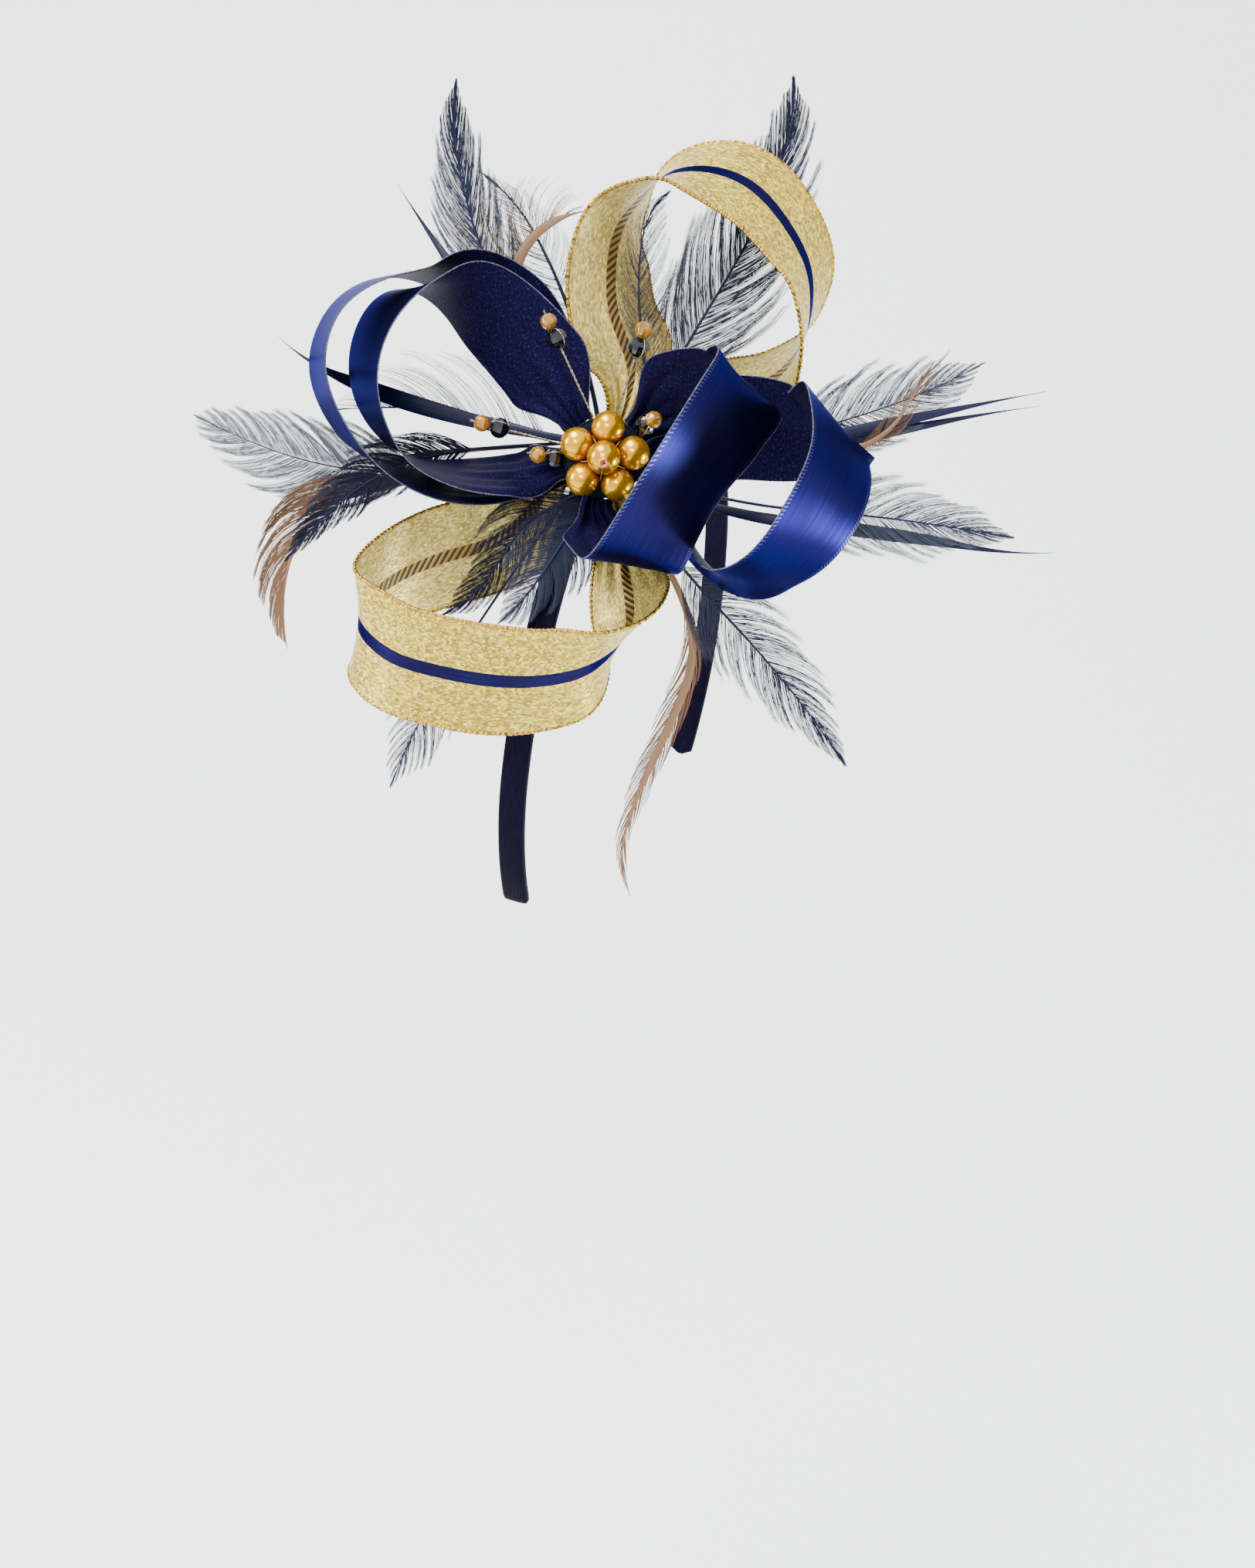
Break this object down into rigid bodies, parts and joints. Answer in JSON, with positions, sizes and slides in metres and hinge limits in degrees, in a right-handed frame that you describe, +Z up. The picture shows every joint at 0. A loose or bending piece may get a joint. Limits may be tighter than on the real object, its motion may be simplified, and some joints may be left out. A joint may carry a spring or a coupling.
{
  "type": "fascinator",
  "caption": "Fascinator: a spray of navy and gold ribbon loops, curled feathers, a pearl flower and beaded wire stamens on a narrow satin hair band.",
  "frame": {"origin": "middle of the hair band's inner face at the crown of the head, where the band sits", "axes": "+Z up through the crown, +X toward the wearer's left ear, -Y toward the wearer's face; the spray sits on the wearer's right, at -X"},
  "size_m": [0.176, 0.2179, 0.2063],
  "materials": {
    "band_satin": "dark navy satin wound over a stiff hair band",
    "navy_cloth": "navy cloth wound round the feather stems and ribbon ends",
    "navy_satin": "thin navy satin ribbon with silver-grey stitched edges",
    "gold_lame": "pale gold woven lame ribbon with darker metallic gold edges",
    "navy_feather": "dyed navy feather with a slight blue sheen",
    "pale_feather": "pale blue-grey feather",
    "tan_feather": "tan stripped feather",
    "gold_pearl": "glossy golden imitation pearl",
    "copper_bead": "small copper-coloured seed bead",
    "amber_bead": "faceted pale amber glass bead",
    "navy_bead": "faceted dark navy bead",
    "silver_wire": "thin twisted silver wire"
  },
  "bodies": {
    "root": {"hair_band": "band_satin", "core": "navy_cloth", "navy_loop_inner": "navy_satin", "navy_loop_outer": "navy_satin", "gold_loop_upper": "gold_lame", "gold_loop_lower": "gold_lame", "navy_loop_front": "navy_satin", "navy_loop_side": "navy_satin", "hackle_left": "navy_feather", "hackle_right": "navy_feather", "pearl_middle": "gold_pearl", "pearl_petal_1": "gold_pearl", "pearl_petal_2": "gold_pearl", "pearl_petal_3": "gold_pearl", "pearl_petal_4": "gold_pearl", "pearl_petal_5": "gold_pearl", "plume_behind_gold": "navy_feather", "plume_dark_curl": "navy_feather", "plume_dark_left": "navy_feather", "plume_dark_lower": "navy_feather", "plume_dark_right": "navy_feather", "plume_fine_left": "navy_feather", "plume_grey_lower": "pale_feather", "plume_grey_right": "pale_feather", "plume_inside_gold": "navy_feather", "plume_pale_left": "pale_feather", "plume_pale_right": "pale_feather", "plume_tan_curl": "tan_feather", "plume_tan_left": "tan_feather", "plume_tan_lower": "tan_feather", "quill_tan_curl": "tan_feather", "seed_bead": "copper_bead", "spike_left": "navy_feather", "spike_lower_left": "navy_feather", "spike_lower_right": "navy_feather", "spike_right_lower": "navy_feather", "spike_right_upper": "navy_feather", "spike_upper": "navy_feather", "stamen_left_amber": "amber_bead", "stamen_left_navy": "navy_bead", "stamen_left_short_amber": "amber_bead", "stamen_left_short_navy": "navy_bead", "stamen_left_short_wire": "silver_wire", "stamen_left_wire": "silver_wire", "stamen_short_amber": "amber_bead", "stamen_short_navy": "navy_bead", "stamen_short_wire": "silver_wire", "stamen_top_left_amber": "amber_bead", "stamen_top_left_navy": "navy_bead", "stamen_top_left_wire": "silver_wire", "stamen_top_right_amber": "amber_bead", "stamen_top_right_navy": "navy_bead", "stamen_top_right_wire": "silver_wire"}
  },
  "joints": []
}
